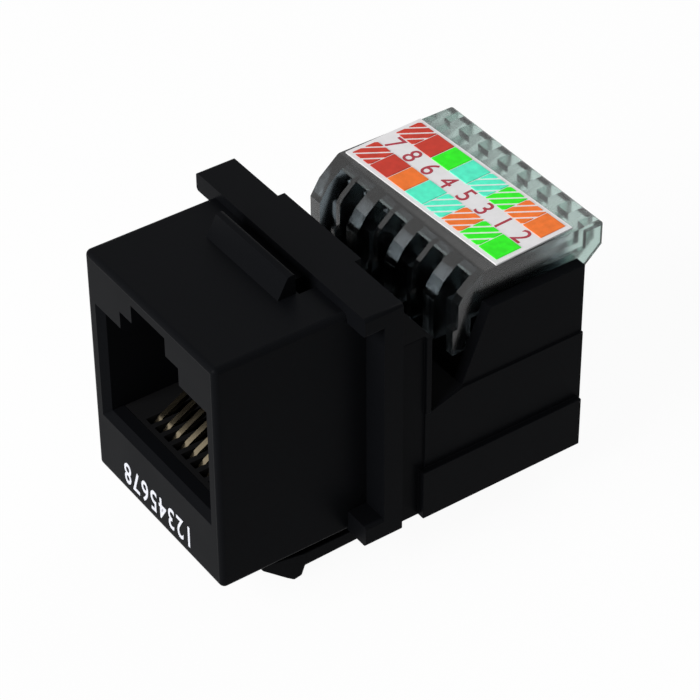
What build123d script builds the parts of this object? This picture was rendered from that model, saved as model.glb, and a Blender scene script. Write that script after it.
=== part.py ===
from build123d import *
import os

# A snap-in network jack: a black housing with an eight-wire plug port in front, a flange,
# a fixed lug and a springy latch that hold it in a panel, and behind them a wiring bay
# with a circuit board, piercing contacts and a clear cap that presses the wires home.
#
# Millimetres. X runs across the port, Y runs into the jack and Z is up.
# The origin is the middle of the plug port's mouth, in the port block's front face.
# Heights in the values below are counted up from the port block's underside.

# Port block
block_width = 14.5
block_height = 17.2
block_edge_radius = 0.4
port_axis_height = 9.1

# Flange that stops against the back of the panel
flange_front = 9.33
flange_thickness = 2.77
flange_overhang = 1.9
flange_rise = 0.7
flange_bar_height = 1.35
flange_foot_height = 1.6
flange_side_recess = 1.4
flange_edge_radius = 0.25

# Plug port
port_width = 11.7
port_floor = 5.1
port_ceiling = 13.1
port_lead_in = 0.45
key_width = 6.6
key_height = 14.85
tab_width = 3.8
tab_height = 16.2
key_depth = 9.8

# Fixed lug on top and the small core pocket behind its end
lug_width = 7.8
panel_groove = 1.33
lug_length = 1.3
lug_crest_length = 0.55
lug_rise = 1.5
lug_edge_radius = 0.2
lug_nose_drop = 0.1
pocket_width = 1.3
pocket_inset = 0.5
pocket_length = 1.2
pocket_depth = 1.3

# Springy latch under the block
latch_side_inset = 1.0
latch_root_radius = 0.55
latch_root_drop = 0.75
latch_root_setback = 0.62
latch_root_clearance = 0.05
latch_root_inset = 0.055
latch_heel_rise = 0.42
latch_thickness = 1.05
latch_arm_drop = 1.3
latch_tip_length = 2.3
latch_tip_drop = 0.75
latch_tip_thickness = 0.42
latch_nose_length = 0.85
latch_nose_run = 0.53
latch_nose_rise = 0.42
latch_catch_gap = 2.58
latch_catch_depth = 0.8
latch_catch_run = 0.26
latch_catch_rise = 0.1
latch_root_run = 0.53
latch_root_rise = 0.1
latch_relief_depth = 0.9
latch_relief_margin = 0.25
latch_relief_front_gap = 0.5
latch_saddle_width = 0.95
latch_saddle_embed = 0.8

# Contact comb that carries the spring contacts in the port
comb_clearance = 0.05
comb_front = 1.3
comb_thickness = 2.8
comb_slot_width = 0.62
comb_slot_depth = 2.1
comb_slot_start = 1.7
comb_slot_end = 7.2
comb_wall_thickness = 0.95
comb_window_height = 2.6

# Spring contacts in the port
contact_count = 8
contact_pitch = 1.02
contact_width = 0.4
contact_thickness = 0.36
contact_bend_radius = 0.7
contact_toe = 2.05
contact_toe_height = 4.25
contact_heel = 2.75
contact_heel_height = 4.95
contact_knee_lead = 2.1
contact_rise_height = 9.15
contact_pin_setback = 1.2
contact_pin_length = 1.3

# Circuit board
board_top = 6.6
board_thickness = 1.0
board_front_setback = 0.4
board_end_clearance = 0.25
board_side_clearance = 0.05
board_hole_clearance = 0.09

# Rear housing
rail_inset = 0.04
bay_length = 11.9
rear_floor = 0.9
rear_wall = 0.84
rear_lower_wall = 1.06
rear_sill_step = 0.15
rear_sill_height = 8.9
deck_height = 14.1
deck_length = 2.4
deck_thickness = 0.9
deck_wall = 0.8
window_sill_front = 8.15
window_sill_back = 9.0
window_run = 2.5
cheek_slope_run = 2.05
shelf_thickness = 0.85
rear_wall_drop = 0.5
rail_height = 3.75
rail_step = 0.4
rail_lead = 0.75
rail_end_setback = 0.2
bead_width = 0.4
bead_step = 0.25
ledge_width = 0.45
shelf_side_margin = 0.45
shelf_end_margin = 0.9
ledge_setback = 2.0
bridge_width = 8.2
bridge_depth = 0.5

# Piercing contacts and the block that holds them
wire_side_margin = 0.475
block_side_clearance = 0.07
block_setback = 1.35
block_top = 13.0
block_seat_gap = 0.05
lane_width = 1.0
lane_floor = 10.6
blade_width = 0.9
blade_thickness = 0.35
blade_top_drop = 0.25
blade_slot_width = 0.3
blade_slot_depth = 2.0
blade_mouth_width = 0.6
blade_mouth_depth = 0.9
blade_clearance = 0.05
blade_front_setback = 3.2
blade_row_spacing = 3.2
tail_side_margin = 0.85
tail_width = 0.5
tail_length = 0.35
tail_link_height = 0.5

# Clear wiring cap
cap_front_lead = 0.1
cap_nose_length = 0.7
cap_slope_length = 1.5
cap_shoulder_drop = 1.3
cap_nose_drop = 2.45
cap_trim_drop = 3.6
cap_overhang = 2.0
cap_height = 3.2
cap_end_height = 1.9
cap_tail_step = 0.2
cap_tail_clearance = 0.2
cap_seat_gap = 0.05
cap_skirt_bottom = 10.7
cap_skirt_gap = 0.1
cap_slot_cover = 0.45
cap_slot_depth = 2.4
cap_wide_tooth = 1.15
cap_thin_tooth = 0.4
cap_tooth_trim = 0.4
cap_edge_radius = 0.4
cap_side_wall = 0.4
cap_notch_width = 1.1
cap_notch_depth = 1.15
cap_wire_tunnel_height = 1.3
cap_tail_notch_drop = 0.63

# Printed label on the cap
label_side_margin = 0.15
label_length = 6.1
label_thickness = 0.12
label_setback = 0.7
label_skew = 2.5
label_border = 0.3
print_thickness = 0.05
cell_gap = 0.1
cell_length = 1.95
hatch_bars = 4
hatch_share = 0.66
hatch_lean = 1.35

# Values that follow from those above
underside = -port_axis_height
half_block = block_width / 2
half_flange = half_block + flange_overhang
latch_width = block_width - 2 * latch_side_inset
half_rear = half_flange - rail_inset - rail_step - rear_sill_step
bay_half_width = half_rear - rear_wall
cavity_half_width = half_rear - rear_lower_wall
cap_half_width = bay_half_width - block_side_clearance
wire_pitch = 2 * (cap_half_width - wire_side_margin) / (contact_count - 1)
tail_pitch = 2 * (cavity_half_width - tail_side_margin) / (contact_count - 1)
label_width = 2 * (cap_half_width - label_side_margin)
flange_back = flange_front + flange_thickness
lug_back = flange_front - panel_groove
lug_crest = lug_back - lug_crest_length
lug_foot = lug_back - lug_length
latch_catch = flange_front - latch_catch_gap
latch_nose = latch_catch - latch_nose_length
latch_tip = latch_nose - latch_tip_length
contact_knee = flange_back - contact_knee_lead
deck_end = flange_back + deck_length
rail_front = deck_end - rail_lead
window_end = deck_end + window_run
cheek_slope_end = window_end + cheek_slope_run
rear_end = deck_end + bay_length
block_front = window_end + block_setback
blade_front_row = window_end + blade_front_setback
blade_back_row = blade_front_row + blade_row_spacing
cap_front = window_end - cap_front_lead
cap_shoulder = cap_front + cap_nose_length
cap_crown = cap_shoulder + cap_slope_length
cap_tail_start = rear_end + cap_tail_step
cap_end = rear_end + cap_overhang
cap_top = block_top + cap_height
rear_wall_height = block_top - rear_wall_drop
cap_tail_bottom = rear_wall_height + cap_tail_clearance
cap_slot_ceiling = cap_top - cap_slot_cover
blade_top = block_top - blade_top_drop
label_front = cap_crown + label_setback
pin_back = flange_back + contact_pin_setback
board_front = flange_back + board_front_setback
board_back = rear_end - rear_wall - board_end_clearance
board_bottom = board_top - board_thickness


def level(height):
    """Turns a height above the port block's underside into Z."""
    return height + underside


def slab(x_low, x_high, y_low, y_high, low, high):
    """A box between two X, two Y and two heights above the block's underside."""
    size = (x_high - x_low, y_high - y_low, high - low)
    middle = ((x_low + x_high) / 2, (y_low + y_high) / 2, level((low + high) / 2))
    return Pos(*middle) * Box(*size)


def centred(width, y_low, y_high, low, high):
    """A box of a given width, centred on the jack's middle plane."""
    return slab(-width / 2, width / 2, y_low, y_high, low, high)


def side_profile(points, x_low, x_high):
    """Extrudes an outline of (Y, height) points across the jack."""
    outline = Polygon(*[(y, level(height)) for y, height in points], align=None)
    return extrude(Plane.YZ.offset(x_low) * outline, amount=x_high - x_low, dir=(1, 0, 0))


def spread(count, pitch):
    """X places of a row of like things, centred on the middle plane."""
    return [(index - (count - 1) / 2) * pitch for index in range(count)]


def write(node, solid):
    """Writes one named piece of the jack."""
    export_step(solid, f"parts/{node}.step")


contact_places = spread(contact_count, contact_pitch)
wire_places = spread(contact_count, wire_pitch)
tail_places = spread(contact_count, tail_pitch)


def latch_axis_y():
    """Depth of the line that the latch bends about."""
    return flange_back - latch_root_setback


def latch_axis_at():
    """Lays a cylinder along the line that the latch bends about."""
    return Pos(0, latch_axis_y(), level(-latch_root_drop)) * Rot(0, 90, 0)


def front_housing():
    """Port block, flange, lug and latch saddle, moulded in one piece."""
    block = centred(block_width, 0, flange_back, 0, block_height)
    long_edges = block.edges().filter_by(Axis.Y)
    mouth_edges = block.edges().group_by(Axis.Y)[0]
    block = fillet(long_edges + mouth_edges, block_edge_radius)

    flange_top = block_height + flange_rise
    side_front = flange_front + flange_side_recess
    flange = centred(2 * half_flange, side_front, flange_back, 0, flange_top)
    flange += centred(2 * half_flange, flange_front, side_front, flange_top - flange_bar_height, flange_top)
    flange += centred(2 * half_flange, flange_front, side_front, 0, flange_foot_height)
    flange = fillet(flange.edges().filter_by(Axis.Y), flange_edge_radius)
    bridge = centred(bridge_width, flange_back, flange_back + bridge_depth, deck_height, flange_top)

    crest = block_height + lug_rise
    lug = side_profile(
        [
            (lug_foot, block_height),
            (lug_foot, block_height - block_edge_radius),
            (lug_back, block_height - block_edge_radius),
            (lug_back, crest),
            (lug_crest, crest - lug_nose_drop),
        ],
        -lug_width / 2,
        lug_width / 2,
    )
    lug = fillet(lug.edges().group_by(Axis.Z)[-1], lug_edge_radius)

    saddle = centred(
        latch_width,
        latch_axis_y() - latch_saddle_width / 2,
        latch_axis_y() + latch_saddle_width / 2,
        -latch_root_drop,
        latch_saddle_embed,
    )
    seat = latch_axis_at() * Cylinder(latch_root_radius + latch_root_clearance, latch_width + 1)

    body = block + flange + bridge + lug + saddle - seat

    port = centred(port_width, -1, flange_back + 1, port_floor, port_ceiling)
    key = centred(key_width, -1, key_depth, port_floor, key_height)
    tab = centred(tab_width, -1, key_depth, port_floor, tab_height)
    port_height = port_ceiling - port_floor
    mouth = Plane.XZ * Pos(0, level((port_floor + port_ceiling) / 2))
    mouth_outline = mouth * Rectangle(port_width + 2 * port_lead_in, port_height + 2 * port_lead_in)
    throat_outline = Pos(0, port_lead_in, 0) * mouth * Rectangle(port_width, port_height)
    lead_in = loft([mouth_outline, throat_outline])
    comb_bed = centred(
        port_width, comb_front, flange_back + 1, port_floor - comb_thickness, port_floor + 1
    )
    relief = centred(
        latch_width + 2 * latch_relief_margin,
        latch_tip - latch_relief_front_gap,
        flange_front - latch_relief_margin,
        -1,
        latch_relief_depth,
    )
    pocket_middle = lug_width / 2 - pocket_inset
    pocket = slab(
        pocket_middle - pocket_width / 2,
        pocket_middle + pocket_width / 2,
        flange_front - pocket_length,
        flange_front,
        block_height - pocket_depth,
        block_height + 1,
    )
    return body - port - key - tab - lead_in - comb_bed - relief - pocket


def panel_latch():
    """Springy arm under the block, with a sloped nose that clicks behind the panel."""
    arm_under = -latch_arm_drop - latch_thickness
    nose_under = arm_under - latch_catch_depth
    root_reach = latch_root_radius - latch_root_inset
    root_back = latch_axis_y() + root_reach
    root_front = latch_axis_y() - root_reach
    arm = side_profile(
        [
            (latch_tip, -latch_tip_drop),
            (latch_tip, -latch_tip_drop - latch_tip_thickness),
            (latch_nose - latch_nose_run, nose_under + latch_nose_rise),
            (latch_nose, nose_under),
            (latch_catch - latch_catch_run, nose_under + latch_catch_rise),
            (latch_catch, arm_under),
            (root_front, arm_under + latch_root_rise),
            (root_back, arm_under + latch_heel_rise),
            (root_back, -latch_root_drop),
            (root_front, -latch_root_drop),
            (root_front - latch_root_run, -latch_arm_drop),
            (latch_catch, -latch_arm_drop),
        ],
        -latch_width / 2,
        latch_width / 2,
    )
    root = latch_axis_at() * Cylinder(latch_root_radius, latch_width)
    return arm + root


def contact_comb():
    """Insulating insert: a slotted floor and a windowed back wall for the contacts."""
    width = port_width - 2 * comb_clearance
    floor_bottom = port_floor - comb_thickness + comb_clearance
    comb = centred(width, comb_front + comb_clearance, flange_back, floor_bottom, port_floor)
    wall_front = flange_back - comb_wall_thickness
    comb += centred(width, wall_front, flange_back, floor_bottom, port_ceiling - comb_clearance)
    for x in contact_places:
        x_low, x_high = x - comb_slot_width / 2, x + comb_slot_width / 2
        slot_floor = port_floor - comb_slot_depth
        comb -= slab(x_low, x_high, comb_slot_start, comb_slot_end, slot_floor, port_floor + 1)
        comb -= slab(
            x_low,
            x_high,
            wall_front - 1,
            flange_back + 1,
            contact_rise_height - comb_window_height / 2,
            contact_rise_height + comb_window_height / 2,
        )
    return comb


def jack_contact(x):
    """Formed wire: a toe in the comb, a sloped spring run, a level run and a pin into the board."""
    pin_bottom = board_bottom - contact_pin_length + board_thickness
    route = [
        (contact_toe, contact_toe_height),
        (contact_heel, contact_heel_height),
        (contact_knee, contact_rise_height),
        (pin_back, contact_rise_height),
        (pin_back, pin_bottom),
    ]
    points = [(x, y, level(height)) for y, height in route]
    path = FilletPolyline(*points, radius=[contact_bend_radius] * 3)
    start = Plane(origin=path @ 0, x_dir=(1, 0, 0), z_dir=path % 0)
    section = start * Rectangle(contact_width, contact_thickness)
    return sweep(section, path=path)


def circuit_board():
    """Board that joins each spring contact to its piercing contact."""
    width = 2 * (cavity_half_width - board_side_clearance)
    board = centred(width, board_front, board_back, board_bottom, board_top)
    pin_corner_reach = (contact_width**2 + contact_thickness**2) ** 0.5 / 2
    hole = pin_corner_reach + board_hole_clearance
    for x in contact_places:
        board -= Pos(x, pin_back, level(board_bottom)) * Cylinder(hole, 4 * board_thickness)
    for index, x in enumerate(tail_places):
        board -= blade_pocket(x, blade_row(index), tail_width, board_bottom - 1, board_top + 1)
    return board


def blade_row(index):
    """Depth of a piercing contact: they stand in two staggered rows."""
    return blade_front_row if index % 2 == 0 else blade_back_row


def blade_pocket(x, depth, width, low, high):
    """Clearance space around a piercing contact or its tail."""
    half_width = width / 2 + blade_clearance
    half_depth = blade_thickness / 2 + blade_clearance
    return slab(x - half_width, x + half_width, depth - half_depth, depth + half_depth, low, high)


def link_span(index):
    """Low and high X of the crank that joins a blade to its tail."""
    blade_x, tail_x = wire_places[index], tail_places[index]
    low = min(blade_x - blade_width / 2, tail_x - tail_width / 2)
    high = max(blade_x + blade_width / 2, tail_x + tail_width / 2)
    return low, high


def idc_contact(index):
    """Forked blade that cuts into a wire, with a cranked tail down to the board."""
    x = wire_places[index]
    tail_x = tail_places[index]
    depth = blade_row(index)
    y_low, y_high = depth - blade_thickness / 2, depth + blade_thickness / 2
    shoulder = window_sill_front + block_seat_gap
    blade = slab(x - blade_width / 2, x + blade_width / 2, y_low, y_high, shoulder, blade_top)
    blade += slab(
        tail_x - tail_width / 2,
        tail_x + tail_width / 2,
        y_low,
        y_high,
        board_bottom - tail_length,
        shoulder + tail_link_height,
    )
    link_low, link_high = link_span(index)
    blade += slab(link_low, link_high, y_low, y_high, shoulder, shoulder + tail_link_height)
    blade -= slab(
        x - blade_slot_width / 2,
        x + blade_slot_width / 2,
        y_low - 1,
        y_high + 1,
        blade_top - blade_slot_depth,
        blade_top + 1,
    )
    mouth = Plane.XZ.offset(-y_high - 1) * Polygon(
        (x - blade_mouth_width / 2, level(blade_top)),
        (x + blade_mouth_width / 2, level(blade_top)),
        (x, level(blade_top - blade_mouth_depth)),
        align=None,
    )
    return blade - extrude(mouth, amount=blade_thickness + 2, dir=(0, -1, 0))


def idc_block():
    """Block between the cheeks, with a lane for each wire and a pocket for each blade."""
    bottom = window_sill_front + block_seat_gap
    back = rear_end - rear_wall - block_seat_gap
    block = slab(-cap_half_width, cap_half_width, block_front, back, bottom, block_top)
    for index, x in enumerate(wire_places):
        lane_low, lane_high = x - lane_width / 2, x + lane_width / 2
        block -= slab(lane_low, lane_high, block_front - 1, back + 1, lane_floor, block_top + 1)
        block -= blade_pocket(x, blade_row(index), blade_width, bottom - 1, lane_floor + 1)
        link_low, link_high = link_span(index)
        link_x, link_width = (link_low + link_high) / 2, link_high - link_low
        link_top = bottom + tail_link_height + blade_clearance
        block -= blade_pocket(link_x, blade_row(index), link_width, bottom - 1, link_top)
    return block


def rear_housing():
    """Rear shell: front chamber, window, cheeks, sills and rails, moulded in one piece."""
    outline = [
        (flange_back, 0),
        (flange_back, deck_height),
        (deck_end, deck_height),
        (deck_end, window_sill_front),
        (window_end, window_sill_back),
        (cheek_slope_end, deck_height),
        (rear_end, deck_height),
        (rear_end, 0),
    ]
    shell = side_profile(outline, -half_rear, half_rear)
    bead_front = deck_end - bead_width
    sill = [
        (bead_front, 0),
        (bead_front, window_sill_front),
        (deck_end, window_sill_front),
        (window_end, rear_sill_height),
        (rear_end, rear_sill_height),
        (rear_end, 0),
    ]
    shell += side_profile(sill, -half_rear - rear_sill_step, half_rear + rear_sill_step)
    rail_reach = half_rear + rear_sill_step + rail_step
    shell += slab(-rail_reach, rail_reach, rail_front, rear_end - rail_end_setback, 0, rail_height)
    bead_reach = half_rear + bead_step
    shell += slab(-bead_reach, bead_reach, bead_front, deck_end, window_sill_front, deck_height)

    inner_back = rear_end - rear_wall
    bay_floor = window_sill_front
    shell -= centred(2 * bay_half_width, window_end, inner_back, bay_floor, deck_height + 1)
    shell -= centred(2 * bay_half_width, window_end, rear_end + 1, rear_wall_height, deck_height + 1)
    shelf_bottom = window_sill_front - shelf_thickness
    shell -= centred(2 * cavity_half_width, flange_back - 1, inner_back, rear_floor, shelf_bottom)
    chamber_back, chamber_top = deck_end - deck_wall, deck_height - deck_thickness
    shell -= centred(2 * cavity_half_width, flange_back - 1, chamber_back, rear_floor, chamber_top)
    shelf_opening = 2 * (cavity_half_width - shelf_side_margin)
    shelf_front, shelf_back = block_front + shelf_end_margin, inner_back - shelf_end_margin
    shell -= centred(shelf_opening, shelf_front, shelf_back, shelf_bottom - 1, bay_floor + 1)
    for side in (-1, 1):
        inner = side * (cavity_half_width - ledge_width)
        outer = side * cavity_half_width
        ledge_low, ledge_high = min(inner, outer), max(inner, outer)
        ledge_front = flange_back + ledge_setback
        shell += slab(ledge_low, ledge_high, ledge_front, inner_back, rear_floor, board_bottom)
    return shell


def termination_cap():
    """Clear cap: a sloped, toothed front, eight wire tunnels and a notched tail."""
    bottom = block_top + cap_seat_gap
    skirt_back = block_front - cap_skirt_gap
    outline = [
        (cap_front, cap_skirt_bottom),
        (cap_front, cap_top - cap_nose_drop),
        (cap_shoulder, cap_top - cap_shoulder_drop),
        (cap_crown, cap_top),
        (cap_end, cap_top),
        (cap_end, cap_top - cap_end_height),
        (cap_tail_start + cap_seat_gap, cap_tail_bottom),
        (cap_tail_start, bottom),
        (skirt_back, bottom),
        (skirt_back, cap_skirt_bottom),
    ]
    cap = side_profile(outline, -cap_half_width, cap_half_width)
    crown_edges = cap.edges().filter_by(Axis.X).group_by(Axis.Z)[-1]
    cap = fillet(crown_edges, cap_edge_radius)

    slot_back = cap_front + cap_slot_depth
    for index in range(contact_count - 1):
        left, right = wire_places[index], wire_places[index + 1]
        left_half, right_half = tooth_half_width(index), tooth_half_width(index + 1)
        gap_low, gap_high = left + left_half, right - right_half
        cap -= slab(gap_low, gap_high, cap_front - 1, slot_back, cap_skirt_bottom - 1, cap_slot_ceiling)
    for index, x in enumerate(wire_places):
        if index % 2 == 1:
            trim_back, trim_bottom = cap_front + cap_tooth_trim, cap_top - cap_trim_drop
            cap -= slab(x - lane_width, x + lane_width, cap_front - 1, trim_back, trim_bottom, cap_top + 1)
        side_limit = cap_half_width - cap_side_wall
        low_x = max(x - cap_notch_width / 2, -side_limit)
        high_x = min(x + cap_notch_width / 2, side_limit)
        notch_front, notch_top = cap_end - cap_notch_depth, cap_top - cap_tail_notch_drop
        cap -= slab(low_x, high_x, slot_back, notch_front, bottom - 1, bottom + cap_wire_tunnel_height)
        cap -= slab(low_x, high_x, notch_front, cap_end + 1, cap_tail_bottom - 1, notch_top)
    return cap


def tooth_half_width(index):
    """Teeth on the cap's front are wide and thin by turns."""
    return (cap_wide_tooth if index % 2 == 0 else cap_thin_tooth) / 2


def on_label(solid):
    """Turns something drawn square to the jack to the label's slight skew."""
    middle_y = label_front + label_length / 2
    return Pos(0, middle_y, 0) * Rot(0, 0, label_skew) * Pos(0, -middle_y, 0) * solid


def wiring_label():
    """White sticker on the cap."""
    plate = centred(label_width, label_front, label_front + label_length, cap_top, cap_top + label_thickness)
    return on_label(plate)


def colour_cell(column, row, hatched):
    """One printed field: solid, or slanted bars for a white-striped wire."""
    pitch = (label_width - 2 * label_border) / contact_count
    x_low = label_width / 2 - label_border - (column + 1) * pitch + cell_gap / 2
    x_high = x_low + pitch - cell_gap
    if row == "front":
        y_low = label_front + label_border
    else:
        y_low = label_front + label_length - label_border - cell_length
    y_high = y_low + cell_length
    low, high = cap_top + label_thickness, cap_top + label_thickness + print_thickness
    field = slab(x_low, x_high, y_low, y_high, low, high)
    if not hatched:
        return field
    step = (x_high - x_low + hatch_lean) / hatch_bars
    bars = []
    for index in range(hatch_bars):
        start = x_low - hatch_lean + (index + 0.5 - hatch_share / 2) * step
        stop = start + hatch_share * step
        outline = Polygon(
            (start, y_low),
            (stop, y_low),
            (stop + hatch_lean, y_high),
            (start + hatch_lean, y_high),
            align=None,
        )
        bar = extrude(Plane.XY.offset(level(low)) * outline, amount=print_thickness, dir=(0, 0, 1))
        bars.append(field & bar)
    return Compound(children=[solid for bar in bars for solid in bar.solids()])


# Wiring colours by column, from the right end of the label: (colour, hatched)
front_row = [
    ("green", False),
    ("green", True),
    ("orange", True),
    ("blue", True),
    ("blue", False),
    ("orange", False),
    ("brown", False),
    ("brown", True),
]
back_row = [
    ("orange", False),
    ("orange", True),
    ("green", True),
    ("blue", True),
    ("blue", False),
    ("green", False),
    ("brown", False),
    ("brown", True),
]


def label_print(colour):
    """All fields of one colour on the label."""
    cells = []
    for row, colours in (("front", front_row), ("back", back_row)):
        for column, (name, hatched) in enumerate(colours):
            if name == colour:
                cells += on_label(colour_cell(column, row, hatched)).solids()
    return Compound(children=cells)


os.makedirs("parts", exist_ok=True)
write("front_housing", front_housing())
write("panel_latch", panel_latch())
write("contact_comb", contact_comb())
for number, place in enumerate(contact_places, start=1):
    write(f"jack_contact_{number}", jack_contact(place))
write("circuit_board", circuit_board())
write("rear_housing", rear_housing())
write("idc_block", idc_block())
for number in range(1, contact_count + 1):
    write(f"idc_contact_{number}", idc_contact(number - 1))
write("termination_cap", termination_cap())
write("wiring_label", wiring_label())
for colour in ("orange", "green", "blue", "brown"):
    write(f"label_print_{colour}", label_print(colour))
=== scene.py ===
import bpy
from mathutils import Matrix, Vector


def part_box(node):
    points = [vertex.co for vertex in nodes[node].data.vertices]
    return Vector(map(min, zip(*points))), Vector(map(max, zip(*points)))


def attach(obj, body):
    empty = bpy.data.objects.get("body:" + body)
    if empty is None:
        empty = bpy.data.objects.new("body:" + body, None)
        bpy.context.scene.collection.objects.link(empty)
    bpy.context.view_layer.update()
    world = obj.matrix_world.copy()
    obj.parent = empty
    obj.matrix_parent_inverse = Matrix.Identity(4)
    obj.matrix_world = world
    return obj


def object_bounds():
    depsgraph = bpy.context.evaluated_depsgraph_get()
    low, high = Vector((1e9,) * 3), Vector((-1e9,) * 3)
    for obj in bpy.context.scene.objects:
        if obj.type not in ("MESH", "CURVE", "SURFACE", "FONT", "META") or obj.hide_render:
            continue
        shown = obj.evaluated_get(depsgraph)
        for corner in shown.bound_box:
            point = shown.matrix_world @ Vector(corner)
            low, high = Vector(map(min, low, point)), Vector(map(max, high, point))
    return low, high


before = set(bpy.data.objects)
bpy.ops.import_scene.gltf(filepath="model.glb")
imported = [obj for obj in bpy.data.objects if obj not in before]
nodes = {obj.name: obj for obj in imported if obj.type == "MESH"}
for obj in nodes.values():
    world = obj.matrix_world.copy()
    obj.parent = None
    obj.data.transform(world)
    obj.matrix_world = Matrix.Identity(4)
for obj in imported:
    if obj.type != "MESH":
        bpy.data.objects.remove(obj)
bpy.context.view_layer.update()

# Camera
# A long lens looks down on the jack from its front right, as in the photograph. The picture was
# cropped off centre, which the lens shift repeats.
mm = 0.001
camera_right = Vector((0.57159, 0.82051, -0.0072))
camera_up = Vector((-0.48806, 0.34703, 0.80085))
camera_back = Vector((0.6596, -0.45424, 0.59882))
camera_place = Vector((115.81, -65.94, 112.92)) * mm

camera_data = bpy.data.cameras.new("camera")
camera_data.sensor_width = 36
camera_data.lens = 147.6
camera_data.shift_x = 0.016
camera_data.shift_y = -0.1691
camera_data.clip_start = 1 * mm
camera_data.clip_end = 10
camera = bpy.data.objects.new("camera", camera_data)
camera.matrix_world = Matrix.Translation(camera_place) @ Matrix(
    (camera_right, camera_up, camera_back)
).transposed().to_4x4()
bpy.context.scene.collection.objects.link(camera)
bpy.context.scene.camera = camera
bpy.context.scene.view_settings.view_transform = "Standard"


# Floor, backdrop and lamps
# A white paper sweep under a soft lamp high in front of the port, with a weaker one over the rear.
# The paper reads as white to the camera and in reflections, and keeps a faint shadow.
def light_path_share(tree, outputs):
    """Adds up the given kinds of ray, so that only they see a different surface."""
    path = tree.nodes.new("ShaderNodeLightPath")
    total = None
    for output in outputs:
        if total is None:
            total = path.outputs[output]
            continue
        adder = tree.nodes.new("ShaderNodeMath")
        adder.operation = "MAXIMUM"
        tree.links.new(total, adder.inputs[0])
        tree.links.new(path.outputs[output], adder.inputs[1])
        total = adder.outputs[0]
    return total


seen_rays = ("Is Camera Ray", "Is Glossy Ray", "Is Transmission Ray")

world = bpy.data.worlds.new("studio")
bpy.context.scene.world = world
world.use_nodes = True
world_tree = world.node_tree
world_tree.nodes.clear()
dim_room = world_tree.nodes.new("ShaderNodeBackground")
dim_room.inputs["Strength"].default_value = 0.2
white_room = world_tree.nodes.new("ShaderNodeBackground")
white_room.inputs["Color"].default_value = (1, 1, 1, 1)
white_room.inputs["Strength"].default_value = 1
room_mix = world_tree.nodes.new("ShaderNodeMixShader")
room_out = world_tree.nodes.new("ShaderNodeOutputWorld")
world_tree.links.new(light_path_share(world_tree, seen_rays), room_mix.inputs["Fac"])
world_tree.links.new(dim_room.outputs[0], room_mix.inputs[1])
world_tree.links.new(white_room.outputs[0], room_mix.inputs[2])
world_tree.links.new(room_mix.outputs[0], room_out.inputs["Surface"])

paper = bpy.data.materials.new("paper_sweep")
paper.use_nodes = True
paper_tree = paper.node_tree
paper_tree.nodes.clear()
paper_matt = paper_tree.nodes.new("ShaderNodeBsdfDiffuse")
paper_matt.inputs["Color"].default_value = (0.9, 0.9, 0.9, 1)
paper_glow = paper_tree.nodes.new("ShaderNodeEmission")
paper_glow.inputs["Color"].default_value = (1, 1, 1, 1)
paper_share = paper_tree.nodes.new("ShaderNodeMath")
paper_share.operation = "MULTIPLY"
paper_share.inputs[1].default_value = 0.95
paper_mix = paper_tree.nodes.new("ShaderNodeMixShader")
paper_out = paper_tree.nodes.new("ShaderNodeOutputMaterial")
paper_tree.links.new(light_path_share(paper_tree, seen_rays), paper_share.inputs[0])
paper_tree.links.new(paper_share.outputs[0], paper_mix.inputs["Fac"])
paper_tree.links.new(paper_matt.outputs[0], paper_mix.inputs[1])
paper_tree.links.new(paper_glow.outputs[0], paper_mix.inputs[2])
paper_tree.links.new(paper_mix.outputs[0], paper_out.inputs["Surface"])

floor_half = 1.5
floor_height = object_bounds()[0].z
floor_mesh = bpy.data.meshes.new("floor")
floor_mesh.from_pydata(
    [
        (-floor_half, -floor_half, floor_height),
        (floor_half, -floor_half, floor_height),
        (floor_half, floor_half, floor_height),
        (-floor_half, floor_half, floor_height),
    ],
    [],
    [(0, 1, 2, 3)],
)
floor = bpy.data.objects.new("floor", floor_mesh)
floor.data.materials.append(paper)
bpy.context.scene.collection.objects.link(floor)


def add_lamp(name, place, size, power):
    """A square soft lamp that faces the jack."""
    data = bpy.data.lights.new(name, "AREA")
    data.size = size
    data.energy = power
    lamp = bpy.data.objects.new(name, data)
    lamp.location = place
    lamp.rotation_mode = "QUATERNION"
    lamp.rotation_quaternion = (-Vector(place)).to_track_quat("-Z", "Y")
    bpy.context.scene.collection.objects.link(lamp)


add_lamp("key_lamp", (0.02, -0.345, 0.2), 0.26, 2.2)
add_lamp("rear_lamp", (-0.1, 0.24, 0.24), 0.2, 0.3)


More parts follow.
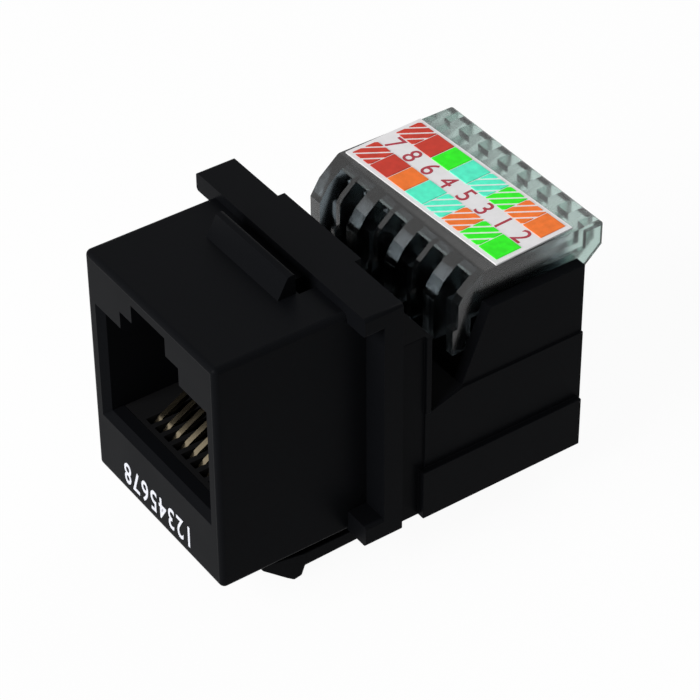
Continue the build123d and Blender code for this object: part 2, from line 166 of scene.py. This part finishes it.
# Front housing and panel latch
# One black moulding: port block, stop flange, fixed lug and, on its own thin root, the springy
# latch. The tool was lightly spark-finished, so the faces are satin with a very fine grain.
def grained_plastic(name, colour, roughness, specular, grain):
    """Moulded plastic: fine grain from the tool and slow patches of polish from handling."""
    material = bpy.data.materials.new(name)
    material.use_nodes = True
    tree = material.node_tree
    surface = tree.nodes["Principled BSDF"]
    surface.inputs["Base Color"].default_value = (*colour, 1)
    surface.inputs["Specular IOR Level"].default_value = specular
    place = tree.nodes.new("ShaderNodeTexCoord")
    patches = tree.nodes.new("ShaderNodeTexNoise")
    patches.inputs["Scale"].default_value = 260
    patches.inputs["Detail"].default_value = 3
    polish = tree.nodes.new("ShaderNodeMapRange")
    polish.inputs["To Min"].default_value = roughness - 0.07
    polish.inputs["To Max"].default_value = roughness + 0.09
    fine = tree.nodes.new("ShaderNodeTexNoise")
    fine.inputs["Scale"].default_value = 9000
    fine.inputs["Detail"].default_value = 2
    relief = tree.nodes.new("ShaderNodeBump")
    relief.inputs["Strength"].default_value = grain
    relief.inputs["Distance"].default_value = 0.012 * mm
    tree.links.new(place.outputs["Object"], patches.inputs["Vector"])
    tree.links.new(place.outputs["Object"], fine.inputs["Vector"])
    tree.links.new(patches.outputs["Fac"], polish.inputs["Value"])
    tree.links.new(polish.outputs["Result"], surface.inputs["Roughness"])
    tree.links.new(fine.outputs["Fac"], relief.inputs["Height"])
    tree.links.new(relief.outputs["Normal"], surface.inputs["Normal"])
    return material


def finish_node(name, material):
    """Gives a solid from the frame its material."""
    nodes[name].data.materials.clear()
    nodes[name].data.materials.append(material)


def soften_edges(name, radius):
    """Rounds a moulding's sharp edges by at most the radius, so that they catch a line of light.

    The modifier's clamp narrows it where edges are short. The front housing gets almost none of it.
    """
    weld = nodes[name].modifiers.new("weld", "WELD")
    weld.merge_threshold = 0.002 * mm
    flats = nodes[name].modifiers.new("flats", "DECIMATE")
    flats.decimate_type = "DISSOLVE"
    flats.angle_limit = 0.02
    rounding = nodes[name].modifiers.new("rounding", "BEVEL")
    rounding.width = radius
    rounding.segments = 2
    rounding.limit_method = "ANGLE"
    rounding.angle_limit = 0.7
    rounding.harden_normals = True


black_housing = grained_plastic("black_housing", (0.0037, 0.004, 0.0048), 0.36, 0.015, 0.35)
finish_node("front_housing", black_housing)
finish_node("panel_latch", black_housing)
edge_radius = 0.09 * mm
soften_edges("front_housing", edge_radius)
soften_edges("panel_latch", edge_radius)

# Pin numbers under the port
# Small white pad-printed numbers on the strip below the port, one under each wire. They stand
# upside down because the jack is drawn with its key notch up.
pad_white = grained_plastic("pad_print_white", (0.62, 0.63, 0.68), 0.5, 0.3, 0.2)
pin_pitch = 1.02 * mm
pin_number_height = 1.7 * mm
pin_number_level = -7.45 * mm
print_lift = 0.02 * mm
digit_share_of_size = 0.72
wire_count = 8
middle_wire = (wire_count - 1) / 2


def number_piece(name, text, height, squeeze, swell, material):
    """A printed number as a thin mesh, drawn flat with its middle at the origin.

    Squeeze narrows it, and swell thickens its strokes by that share of its height.
    """
    curve = bpy.data.curves.new(name, "FONT")
    curve.body = text
    curve.align_x = "CENTER"
    curve.align_y = "CENTER"
    curve.size = height / digit_share_of_size
    curve.offset = height * swell
    curve.extrude = print_lift / 2
    curve.resolution_u = 4
    draft = bpy.data.objects.new(name + "_draft", curve)
    bpy.context.scene.collection.objects.link(draft)
    bpy.context.view_layer.update()
    mesh = bpy.data.meshes.new_from_object(draft.evaluated_get(bpy.context.evaluated_depsgraph_get()))
    bpy.data.objects.remove(draft)
    heights = [vertex.co.y for vertex in mesh.vertices]
    mesh.transform(Matrix.Translation((0, -(min(heights) + max(heights)) / 2, 0)))
    mesh.transform(Matrix.Diagonal((squeeze, 1, 1, 1)))
    piece = bpy.data.objects.new(name, mesh)
    piece.data.materials.clear()
    piece.data.materials.append(material)
    bpy.context.scene.collection.objects.link(piece)
    return piece


for pin in range(wire_count):
    piece = number_piece(f"pin_number_{pin + 1}", str(pin + 1), pin_number_height, 0.74, 0.013, pad_white)
    across = (middle_wire - pin) * pin_pitch
    facing_out = Matrix(((-1, 0, 0), (0, 0, -1), (0, -1, 0))).to_4x4()
    piece.matrix_world = Matrix.Translation((across, -print_lift / 2, pin_number_level)) @ facing_out
    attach(piece, "housing")

# Contact comb and spring contacts
# A black slotted insert holds eight formed wires, plated thinly with gold over nickel. Each runs
# up from its slot to the board, so that only short lengths catch the light in the dark port.
comb_plastic = grained_plastic("comb_plastic", (0.0075, 0.0075, 0.008), 0.5, 0.03, 0.3)
finish_node("contact_comb", comb_plastic)


def plated_metal(name, colour, roughness):
    """Drawn and plated metal, with faint lines along its length."""
    material = bpy.data.materials.new(name)
    material.use_nodes = True
    tree = material.node_tree
    surface = tree.nodes["Principled BSDF"]
    surface.inputs["Base Color"].default_value = (*colour, 1)
    surface.inputs["Metallic"].default_value = 1
    place = tree.nodes.new("ShaderNodeTexCoord")
    stretch = tree.nodes.new("ShaderNodeMapping")
    stretch.inputs["Scale"].default_value = (9000, 700, 700)
    lines = tree.nodes.new("ShaderNodeTexNoise")
    lines.inputs["Scale"].default_value = 1
    polish = tree.nodes.new("ShaderNodeMapRange")
    polish.inputs["To Min"].default_value = roughness - 0.06
    polish.inputs["To Max"].default_value = roughness + 0.1
    tree.links.new(place.outputs["Object"], stretch.inputs["Vector"])
    tree.links.new(stretch.outputs["Vector"], lines.inputs["Vector"])
    tree.links.new(lines.outputs["Fac"], polish.inputs["Value"])
    tree.links.new(polish.outputs["Result"], surface.inputs["Roughness"])
    return material


# The gold colour is painted far darker than real plating: painted shade that stands in for the dark port.
gold_plate_with_painted_shade = plated_metal("gold_plate_with_painted_shade", (0.24, 0.2, 0.135), 0.19)
for pin in range(wire_count):
    finish_node(f"jack_contact_{pin + 1}", gold_plate_with_painted_shade)

# Rear housing and contact block
# A second black moulding with a cheek each side of the wiring bay. The block that it holds is the
# same plastic and has a lane for each wire.
finish_node("rear_housing", black_housing)
soften_edges("rear_housing", edge_radius)
finish_node("idc_block", comb_plastic)

# Circuit board and piercing contacts
# A glass-fibre board under green lacquer, and tin-plated forked blades that stand in the block.
board_lacquer = grained_plastic("board_lacquer", (0.02, 0.12, 0.045), 0.3, 0.5, 0.15)
finish_node("circuit_board", board_lacquer)
tin_plate = plated_metal("tin_plate", (0.72, 0.71, 0.68), 0.3)
for wire in range(wire_count):
    finish_node(f"idc_contact_{wire + 1}", tin_plate)

# Wiring cap
# Clear polycarbonate with a toothed front and open tail, polished, with faint flow marks from
# moulding. Over the bay its colour is painted shade, dark to stand in for the black seen through it.
dark_until = 25.3 * mm
clear_from = 26.4 * mm
clear_cap = bpy.data.materials.new("clear_cap")
clear_cap.use_nodes = True
cap_tree = clear_cap.node_tree
cap_surface = cap_tree.nodes["Principled BSDF"]
cap_surface.inputs["Transmission Weight"].default_value = 1
cap_surface.inputs["IOR"].default_value = 1.58
cap_surface.inputs["Specular IOR Level"].default_value = 0.07
cap_place = cap_tree.nodes.new("ShaderNodeTexCoord")
flow_marks = cap_tree.nodes.new("ShaderNodeTexNoise")
flow_marks.inputs["Scale"].default_value = 420
flow_marks.inputs["Detail"].default_value = 2
flow_polish = cap_tree.nodes.new("ShaderNodeMapRange")
flow_polish.inputs["To Min"].default_value = 0.14
flow_polish.inputs["To Max"].default_value = 0.3
flow_relief = cap_tree.nodes.new("ShaderNodeBump")
flow_relief.inputs["Strength"].default_value = 0.25
flow_relief.inputs["Distance"].default_value = 0.05 * mm
cap_depth = cap_tree.nodes.new("ShaderNodeSeparateXYZ")
bay_end = cap_tree.nodes.new("ShaderNodeMapRange")
bay_end.inputs["From Min"].default_value = dark_until
bay_end.inputs["From Max"].default_value = clear_from
cap_tint_and_painted_shade = cap_tree.nodes.new("ShaderNodeValToRGB")
# The dark front colour is painted shade over the bay; the tail colour is the plastic's own green-grey
# tint.
cap_tint_and_painted_shade.color_ramp.elements[0].color = (0.13, 0.155, 0.17, 1)
cap_tint_and_painted_shade.color_ramp.elements[1].color = (0.41, 0.54, 0.5, 1)
cap_tree.links.new(cap_place.outputs["Object"], cap_depth.inputs["Vector"])
cap_tree.links.new(cap_depth.outputs["Y"], bay_end.inputs["Value"])
cap_tree.links.new(bay_end.outputs["Result"], cap_tint_and_painted_shade.inputs["Fac"])
cap_tree.links.new(cap_tint_and_painted_shade.outputs["Color"], cap_surface.inputs["Base Color"])
cap_tree.links.new(cap_place.outputs["Object"], flow_marks.inputs["Vector"])
cap_tree.links.new(flow_marks.outputs["Fac"], flow_polish.inputs["Value"])
cap_tree.links.new(flow_polish.outputs["Result"], cap_surface.inputs["Roughness"])
cap_tree.links.new(flow_marks.outputs["Fac"], flow_relief.inputs["Height"])
cap_tree.links.new(flow_relief.outputs["Normal"], cap_surface.inputs["Normal"])
finish_node("termination_cap", clear_cap)


# Wiring label
# A white film sticker on the cap, screen-printed with the colour of each wire in two rows. The
# inks lie a little unevenly, and the numbers between the rows are dark red.
def printed_ink(name, colour, spread):
    """Screen ink on white film, slightly thinner in places."""
    material = bpy.data.materials.new(name)
    material.use_nodes = True
    tree = material.node_tree
    surface = tree.nodes["Principled BSDF"]
    surface.inputs["Roughness"].default_value = 0.5
    surface.inputs["Specular IOR Level"].default_value = 0.12
    place = tree.nodes.new("ShaderNodeTexCoord")
    mottle = tree.nodes.new("ShaderNodeTexNoise")
    mottle.inputs["Scale"].default_value = 1900
    mottle.inputs["Detail"].default_value = 4
    shades = tree.nodes.new("ShaderNodeValToRGB")
    shades.color_ramp.elements[0].position = 0.3
    shades.color_ramp.elements[0].color = (*[c * (1 - spread) for c in colour], 1)
    shades.color_ramp.elements[1].position = 0.7
    shades.color_ramp.elements[1].color = (*colour, 1)
    tree.links.new(place.outputs["Object"], mottle.inputs["Vector"])
    tree.links.new(mottle.outputs["Fac"], shades.inputs["Fac"])
    tree.links.new(shades.outputs["Color"], surface.inputs["Base Color"])
    return material


finish_node("wiring_label", printed_ink("label_film", (0.84, 0.83, 0.84), 0.06))
ink_colours = {
    "orange": (1.0, 0.215, 0.035),
    "green": (0.035, 1.0, 0.02),
    "blue": (0.11, 1.0, 0.66),
    "brown": (0.62, 0.05, 0.03),
}
for ink, colour in ink_colours.items():
    finish_node(f"label_print_{ink}", printed_ink(f"ink_{ink}", colour, 0.18))

label_low, label_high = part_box("wiring_label")
label_middle = (label_low + label_high) / 2
label_skew = 0.04363
number_pitch = 1.8 * mm
number_height = 1.42 * mm
number_ink = printed_ink("ink_number", (0.46, 0.05, 0.075), 0.2)
label_turn = Matrix.Translation((label_middle.x, label_middle.y, label_high.z)) @ Matrix.Rotation(
    label_skew, 4, "Z"
)
for column, number in enumerate("21354687"):
    piece = number_piece(f"wire_number_{number}", number, number_height, 0.95, 0, number_ink)
    across = (middle_wire - column) * number_pitch
    piece.matrix_world = label_turn @ Matrix.Translation((across, 0, print_lift / 2))
    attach(piece, "cap")
